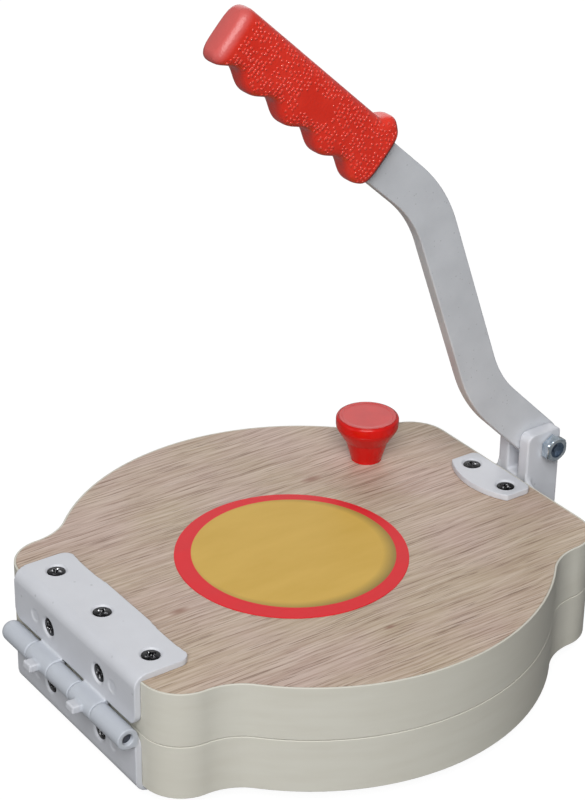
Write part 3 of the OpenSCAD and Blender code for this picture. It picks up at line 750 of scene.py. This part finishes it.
shade = ranged(tree, from_shade, 0.0, 1.0, start=shade_start, end=shade_end)
brushed = node(tree, "ShaderNodeMapping", {"Vector": where, "Scale": (90.0, 30.0, 30.0)})
sheen = noise(tree, brushed.outputs[0], scale=1.0, detail=4.0)
gold = tones(tree, sheen, (0.3, srgb(204, 165, 66)), (0.7, srgb(212, 174, 80)))
red = tones(tree, sheen, (0.3, srgb(216, 16, 30)), (0.7, srgb(224, 22, 36)))
finish(
    tree,
    Base_Color=mixed(tree, is_ring, mixed(tree, shade, gold, srgb(140, 116, 52)), red),
    Roughness=ranged(tree, sheen, 0.36, 0.5),
)
stand_for(badge, "round_badge", "lid", film)


# Lever: a flat steel bar bent twice on edge, with broken corners, which turns on the fork's bolt.
# Its powder coat is thinner than the castings', so it is speckled with small pits.

bar_tints = (0.3, srgb(201, 204, 209)), (0.7, srgb(211, 214, 219))
bar_coat = coated(
    "bar_coat", bar_tints, srgb(184, 186, 190), peel_size=1.0 * MM, pit_size=3.4 * MM, peel_strength=0.2,
)
eased("lever_arm", "lever", bar_coat, width=0.7 * MM, merge=True)


# Grip: red soft plastic pushed over the bar, with four finger valleys, a thumb stop and a smooth tip.
# Small raised dots cover its sides; shade is painted dark on the mouth's rim, round the bar.

mouth_out = 99.770
mouth_up = 159.042
slope = math.radians(42)
grip_len = 99.0
grip_up = 13.8
grip_down = 12.2
grip_taper = 2.3
grip_half = 7.5
square_off = 0.56
wave_h = 2.1
wave_pitch = 22.8
wave_start = 17.0
thumb_h = 3.9
thumb_at = 5.5
thumb_half = 7.75
tip_r = 4.8
mouth_r = 1.2
dot_h = 0.3
slot_high = 10.6
slot_side = 3.9
slot_depths = (9.0, 0.6)
grip_turns = 96
fine_count = 1441
pivot = joint_at("lever_press")
mouth = Vector((0.0, pivot[1] - mouth_out * MM, pivot[2] + mouth_up * MM))


def round_off(reach):
    """What the rounded mouth and tip take off the section, at a reach from the mouth."""
    if reach < mouth_r:
        return mouth_r - math.sqrt(mouth_r ** 2 - (mouth_r - reach) ** 2)
    if reach > grip_len - tip_r:
        return tip_r - math.sqrt(max(0.0, tip_r ** 2 - (reach - grip_len + tip_r) ** 2))
    return 0.0


def grip_point(reach, turn):
    """A point of the skin under the dots, at a reach from the mouth and a turn, in the grip's own frame."""
    off = (reach - thumb_at) / thumb_half
    thumb = thumb_h * (1 + math.cos(math.pi * off)) / 2 if abs(off) < 1 else 0.0
    wave = wave_h * math.cos(2 * math.pi * (reach - wave_start) / wave_pitch)
    inset = round_off(reach) + dot_h
    up = grip_up + thumb - inset
    down = grip_down - grip_taper * reach / grip_len - wave - inset
    sideways = math.cos(turn)
    upwards = math.sin(turn)
    high = math.copysign(abs(upwards) ** square_off, upwards) * (up if upwards > 0 else down)
    side = math.copysign(abs(sideways) ** square_off, sideways) * (grip_half - inset)
    return Vector((reach, high, side))


fine_turns = np.linspace(0, 2 * math.pi, fine_count)
skin_line = np.array([grip_point(grip_len / 2, turn) for turn in fine_turns])
skin_run = np.concatenate([[0], np.cumsum(np.linalg.norm(np.diff(skin_line, axis=0), axis=1))])


def turn_at(share):
    """The turn at a share of the way round the section, so that points lie evenly on its skin."""
    return float(np.interp(share % 1.0, skin_run / skin_run[-1], fine_turns))


def on_lever(local):
    """From the grip's own frame to the part's: along the bar, up from it, and across."""
    forward = local.x * math.cos(slope) - local.y * math.sin(slope)
    upward = local.x * math.sin(slope) + local.y * math.cos(slope)
    return mouth + Vector((-local.z, -forward, upward)) * MM


mouth_steps = 5
side_steps = 120
tip_steps = 10
tip_start = grip_len - tip_r
painted_sheen_start = tip_start - 0.5
painted_sheen_end = grip_len - 0.4 * tip_r
mouth_shade_start = 0.8
mouth_shade_end = 1.7
quarter = math.pi / 2
grip_stations = [
    dot_h + (mouth_r - dot_h) * (1 - math.cos(quarter * k / mouth_steps)) for k in range(mouth_steps)
]
grip_stations += list(np.linspace(mouth_r, tip_start, side_steps))
grip_stations += [
    tip_start + (tip_r - dot_h) * math.sin(quarter * k / tip_steps) for k in range(1, tip_steps + 1)
]

shape = bmesh.new()
# Painted sheen: the pale share lightens the tip towards its end.
pale = shape.verts.layers.float.new("pale")
# Painted shade: the dark share darkens the mouth's rim round the bar.
dark = shape.verts.layers.float.new("dark")
skin_turns = [turn_at(k / grip_turns) for k in range(grip_turns)]
rings = []
for depth in slot_depths:
    ring = []
    for turn in skin_turns:
        wall = 1 / max(abs(math.cos(turn)) / slot_side, abs(math.sin(turn)) / slot_high)
        local = Vector((depth, math.sin(turn) * wall, math.cos(turn) * wall))
        ring.append(shape.verts.new(on_lever(local)))
    rings.append(ring)
for reach in grip_stations:
    ring = []
    for turn in skin_turns:
        local = grip_point(reach, turn)
        point = shape.verts.new(on_lever(local))
        point[pale] = 1 - step_down(reach, painted_sheen_start, painted_sheen_end)
        point[dark] = step_down(reach, mouth_shade_start, mouth_shade_end) * step_down(abs(local.y), slot_high - 1, slot_high)
        ring.append(point)
    rings.append(ring)
stitch(shape, rings)
shape.faces.new(rings[-1])
shape.faces.new(reversed(rings[0]))
smooth_faces = len(shape.faces)

dot_sides = 7
dots_around = 42
first_row = 2.4
row_pitch = 2.0
bare_before_tip = 1.0
left_out = 0.22
stray_along = 1.1
stray_middle = 0.6
stray_round = 0.5
least_facing = 0.72
least_size = 0.56
more_size = 0.26
least_rise = 0.7
slope_along = 0.2
slope_round = 0.02
bare_at = 46.0
bare_long = 10.0
bare_high = 5.0
# The width and the height of each hoop of a dot, as shares of the dot's own.
dot_hoops = ((1.0, -0.1), (0.9, 0.5), (0.6, 0.84))


def scatter(row, k, row_step, place_step, spread):
    """A number from 0 to 1 that is always the same for the k-th place of a row."""
    far = math.sin(row * row_step + k * place_step) * spread
    return far - math.floor(far)


dot_rows = np.arange(first_row, tip_start - bare_before_tip, row_pitch)
for row, row_reach in enumerate(dot_rows):
    for k in range(dots_around):
        chance = scatter(row, k, 12.9898, 78.233, 43758.5453)
        nudge = scatter(row, k, 39.346, 11.135, 24634.6345)
        if chance < left_out:
            continue
        half_step = 0.5 * (row % 2)
        turn = turn_at((k + half_step + stray_round * (nudge - 0.5)) / dots_around)
        here = row_reach + stray_along * (chance - stray_middle)
        foot = grip_point(here, turn)
        if ((here - bare_at) / bare_long) ** 2 + (foot.y / bare_high) ** 2 < 1:
            continue
        lengthwise = grip_point(here + slope_along, turn) - grip_point(here - slope_along, turn)
        lengthwise.normalize()
        crosswise = grip_point(here, turn + slope_round) - grip_point(here, turn - slope_round)
        crosswise.normalize()
        out = lengthwise.cross(crosswise)
        if out.dot(Vector((0, foot.y, foot.z))) < 0:
            out = -out
        if abs(out.z) < least_facing:
            continue
        size = least_size + more_size * nudge
        rise = dot_h * (least_rise + (1 - least_rise) * chance)
        hoops = []
        for wide, tall in dot_hoops:
            hoop = []
            for side in range(dot_sides):
                turn = 2 * math.pi * side / dot_sides
                aside = (lengthwise * math.cos(turn) + crosswise * math.sin(turn)) * size * wide
                hoop.append(shape.verts.new(on_lever(foot + out * rise * tall + aside)))
            hoops.append(hoop)
        stitch(shape, hoops + [[shape.verts.new(on_lever(foot + out * rise))]])
        shape.faces.new(reversed(hoops[0]))
for count, face in enumerate(shape.faces):
    face.material_index = 1 if count >= smooth_faces else 0
grip = made(shape, "finger_grip")

red_soft, tree = material("red_soft_plastic", Specular_IOR_Level=0.45)
where = place_on(tree)
cloud = noise(tree, where, scale=90.0, detail=4.0)
pebble = node(tree, "ShaderNodeTexVoronoi", {"Vector": where, "Scale": 900.0}).outputs["Distance"]
grip_tint = tones(tree, cloud, (0.3, srgb(224, 44, 26)), (0.7, srgb(235, 54, 36)))
# Painted sheen: the tip turns paler towards its end, as if it caught a whitish sheen.
grip_tint = mixed(tree, painted(tree, "pale"), grip_tint, srgb(206, 90, 86))
# Painted shade: the mouth's rim is darkened where the bar goes in.
grip_tint = mixed(tree, painted(tree, "dark"), grip_tint, srgb(48, 34, 34))
finish(
    tree,
    Base_Color=grip_tint,
    Roughness=ranged(tree, cloud, 0.26, 0.4),
    Normal=relief(tree, pebble, strength=0.16, depth=0.4 * MM),
)
stand_for(grip, "lever_grip", "lever", red_soft)
# The dots' red is painted paler than the grip's, as a painted highlight, and is glossier.
red_dots, tree = material("red_dots", Base_Color=srgb(232, 64, 46), Specular_IOR_Level=0.8)
dot_wear = noise(tree, place_on(tree), scale=300.0, detail=2.0)
finish(tree, Roughness=ranged(tree, dot_wear, 0.08, 0.24))
grip.data.materials.append(red_dots)


# Studio: a wide sheet of white paper under the press, lit softly from above and the front.
# Paper and room look white to the camera, greyer in reflections, and light the press only a little.

floor_half = 6.0
floor_grey = 0.14
floor_white = 0.93
floor_mirrored = 0.15
room_light = 0.1
room_mirrored = 0.5
room_white = 0.94
white = (1.0, 1.0, 1.0, 1.0)
scene = bpy.context.scene
scene.view_settings.view_transform = "Standard"

floor_mesh = bpy.data.meshes.new("studio_floor")
floor_corners = [(floor_half * x, floor_half * y, 0.0) for x, y in ((-1, -1), (1, -1), (1, 1), (-1, 1))]
floor_mesh.from_pydata(floor_corners, [], [(0, 1, 2, 3)])
floor = bpy.data.objects.new("studio_floor", floor_mesh)
bpy.context.collection.objects.link(floor)
paper, tree = material(
    "studio_paper", Base_Color=(floor_grey, floor_grey, floor_grey, 1.0), Roughness=0.9,
    Specular_IOR_Level=0.0, Emission_Color=white,
)
path = node(tree, "ShaderNodeLightPath").outputs
seen = number(tree, "MULTIPLY", path["Is Camera Ray"], floor_white)
mirrored = number(tree, "MULTIPLY", path["Is Glossy Ray"], floor_mirrored)
finish(tree, Emission_Strength=number(tree, "MAXIMUM", seen, mirrored))
floor_mesh.materials.append(paper)

world = bpy.data.worlds.new("studio_world")
scene.world = world
world.use_nodes = True
tree = world.node_tree
tree.nodes.clear()
path = node(tree, "ShaderNodeLightPath").outputs
light, mirrored, seen = (
    node(tree, "ShaderNodeBackground", {"Color": white, "Strength": strength}).outputs[0]
    for strength in (room_light, room_mirrored, room_white)
)
unseen = node(tree, "ShaderNodeMixShader", {0: path["Is Glossy Ray"], 1: light, 2: mirrored}).outputs[0]
room = node(tree, "ShaderNodeMixShader", {0: path["Is Camera Ray"], 1: unseen, 2: seen}).outputs[0]
node(tree, "ShaderNodeOutputWorld", {"Surface": room})


def softbox(name, place, aim, size, power):
    """A square lamp that points at a spot."""
    lamp = bpy.data.lights.new(name, "AREA")
    lamp.shape = "SQUARE"
    lamp.size = size
    lamp.energy = power
    thing = bpy.data.objects.new(name, lamp)
    bpy.context.collection.objects.link(thing)
    thing.location = place
    thing.rotation_euler = (Vector(aim) - Vector(place)).to_track_quat("-Z", "Y").to_euler()


softbox("key_softbox", place=(1.65, -1.31, 2.13), aim=(0.0, 0.0, 0.05), size=1.9, power=86.0)
softbox("small_lamp", place=(1.02, -1.08, 0.52), aim=(0.0, 0.05, 0.08), size=0.06, power=1.8)
softbox("low_fill", place=(-0.2, -1.6, 0.35), aim=(0.0, 0.0, 0.1), size=0.9, power=1.7)
softbox("white_backdrop", place=(-1.08, 0.77, 0.70), aim=(0.0, 0.0, 0.05), size=1.2, power=5.5)


# Camera: a long lens where the photograph was taken from, looking down on the lid from the hinge's right.
# It is turned and rolled to fit the photograph, and aims at a spot level with the lid's top.

eye_turn = math.radians(54.532)
eye_height = math.radians(27.763)
eye_roll = math.radians(0.928)
eye_distance = 1.101464
aim_x = -112.895
aim_y = 71.745
focal_px = 2273.737
photo_px = 800
sensor = 36.0
lid_low, lid_high = (Vector(corner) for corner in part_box("upper_edge_band"))
aim = Vector((aim_x * MM, aim_y * MM + (lid_low.y + lid_high.y) / 2, lid_high.z))
level = Vector((math.cos(eye_turn), math.sin(eye_turn), 0.0))
forward = Vector((math.sin(eye_turn), -math.cos(eye_turn), 0.0))
back = forward * math.cos(eye_height) + Vector((0.0, 0.0, math.sin(eye_height)))
upright = back.cross(level)
right = level * math.cos(eye_roll) + upright * math.sin(eye_roll)
top = upright * math.cos(eye_roll) - level * math.sin(eye_roll)
lens = bpy.data.cameras.new("photo_camera")
lens.sensor_width = sensor
lens.lens = focal_px * sensor / photo_px
camera = bpy.data.objects.new("photo_camera", lens)
bpy.context.collection.objects.link(camera)
facing = Matrix((right, top, back)).transposed().to_4x4()
camera.matrix_world = Matrix.Translation(aim + back * eye_distance) @ facing
scene.camera = camera
